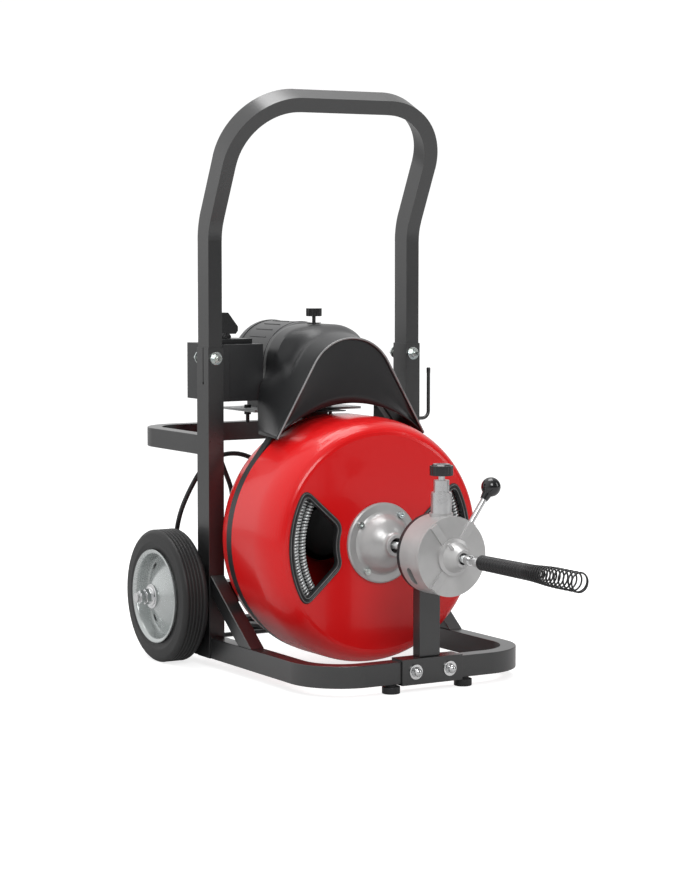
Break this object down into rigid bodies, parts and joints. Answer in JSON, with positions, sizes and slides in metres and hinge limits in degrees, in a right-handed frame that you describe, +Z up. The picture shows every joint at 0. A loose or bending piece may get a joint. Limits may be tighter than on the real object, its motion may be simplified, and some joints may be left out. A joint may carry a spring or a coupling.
{
  "type": "drain cleaning machine",
  "caption": "Upright drum drain cleaner on two wheels, with a leaning tube handle, belt driven cable drum and hand lever feed guide.",
  "frame": {"origin": "centre of the bounding box in X and Y, on the floor, cord left out", "axes": "+Z up, the cable leaves the feed guide towards -Y, +X is to the right for someone looking at the front"},
  "size_m": [0.574, 1.1002, 0.9303],
  "materials": {
    "frame_black": "satin black paint",
    "zinc": "bright zinc",
    "chrome_steel": "bright nickel",
    "steel": "turned steel",
    "spring_steel": "wound spring wire",
    "tyre": "black solid rubber",
    "rim": "silver paint",
    "rubber": "black rubber",
    "cast_alu": "bead blasted casting",
    "drum_red": "gloss red",
    "black_plastic": "satin black",
    "knob_black": "moulded black",
    "motor_grey": "dark grey paint",
    "dark_steel": "black oxide"
  },
  "bodies": {
    "frame": {"base_loop": "frame_black", "posts": "frame_black", "support_frame": "frame_black", "braces": "frame_black", "rear_loop": "frame_black", "handle": "frame_black", "handle_bolts": "zinc", "axle_brackets": "frame_black", "axle": "steel", "axle_nuts": "chrome_steel", "front_sleeve": "frame_black", "sleeve_bolts": "chrome_steel", "front_post": "frame_black", "feet": "rubber", "guide_backplate": "black_plastic", "guide_body": "cast_alu", "guide_tube": "steel", "tension_bush": "steel", "bearing_housing": "frame_black", "drum_bearings": "steel", "drive_belt": "rubber", "motor_body": "motor_grey", "motor_cap": "motor_grey", "motor_plate": "zinc", "motor_bolts": "dark_steel", "belt_guard": "black_plastic", "guard_post": "frame_black", "switch_box": "motor_grey", "switch_plate": "black_plastic", "cord_gland": "rubber", "power_cord": "rubber", "cord_coil": "rubber", "plug": "rubber", "cord_hook": "frame_black"},
    "drum": {"drum_face": "drum_red", "drum_front": "drum_red", "drum_rear": "drum_red", "window_trims": "rubber", "drum_hub": "cast_alu", "hub_screws": "zinc", "drum_shaft": "dark_steel", "cable_coil": "spring_steel", "cable_run": "spring_steel", "cable_coupling": "chrome_steel", "auger_head": "dark_steel"},
    "rotor": {"motor_pulley": "steel", "motor_shaft": "steel"},
    "wheel_left": {"tyre_left": "tyre", "rim_left": "rim"},
    "wheel_right": {"tyre_right": "tyre", "rim_right": "rim"},
    "feed_head": {"guide_cap": "cast_alu", "lever_rod": "chrome_steel", "lever_ball": "knob_black", "feed_rollers": "steel"},
    "tension_plunger": {"tension_plunger": "steel"},
    "tension_knob": {"tension_screw": "chrome_steel", "tension_knob": "knob_black"},
    "switch_lever": {"switch_lever": "knob_black"},
    "guard_knob": {"guard_knob": "knob_black"}
  },
  "joints": [
    {"name": "drum_spin", "type": "hinge", "parent": "frame", "child": "drum", "pos_m": [0, 0.1237, 0.213], "axis": [0, 1, 0], "continuous": true},
    {"name": "motor_spin", "type": "hinge", "parent": "frame", "child": "rotor", "pos_m": [0, 0.1637, 0.485], "axis": [0, 1, 0], "continuous": true},
    {"name": "wheel_left_spin", "type": "hinge", "parent": "frame", "child": "wheel_left", "pos_m": [-0.23, 0.3177, 0.109], "axis": [1, 0, 0], "continuous": true},
    {"name": "wheel_right_spin", "type": "hinge", "parent": "frame", "child": "wheel_right", "pos_m": [0.23, 0.3177, 0.109], "axis": [1, 0, 0], "continuous": true},
    {"name": "feed_lever_swing", "type": "hinge", "parent": "frame", "child": "feed_head", "pos_m": [0, -0.1798, 0.213], "axis": [0, 1, 0], "range_deg": [-20, 20]},
    {"name": "tension_slide", "type": "slide", "parent": "frame", "child": "tension_plunger", "axis": [0, 0, -1], "range_m": [0, 0.006]},
    {"name": "tension_turn", "type": "hinge", "parent": "tension_plunger", "child": "tension_knob", "pos_m": [0, -0.1513, 0.34], "axis": [0, 0, 1], "range_deg": [0, 1440]},
    {"name": "switch_turn", "type": "hinge", "parent": "frame", "child": "switch_lever", "pos_m": [-0.146, 0.2757, 0.55], "axis": [0, 0, 1], "range_deg": [-45, 45]},
    {"name": "guard_knob_turn", "type": "hinge", "parent": "frame", "child": "guard_knob", "pos_m": [0, 0.2317, 0.56], "axis": [0, 0, 1], "range_deg": [0, 720]}
  ],
  "couplings": [
    {"joint": "motor_spin", "follows": "drum_spin", "ratio": 7.4231},
    {"joint": "tension_turn", "follows": "tension_slide", "rad_per_m": 4188.8}
  ]
}
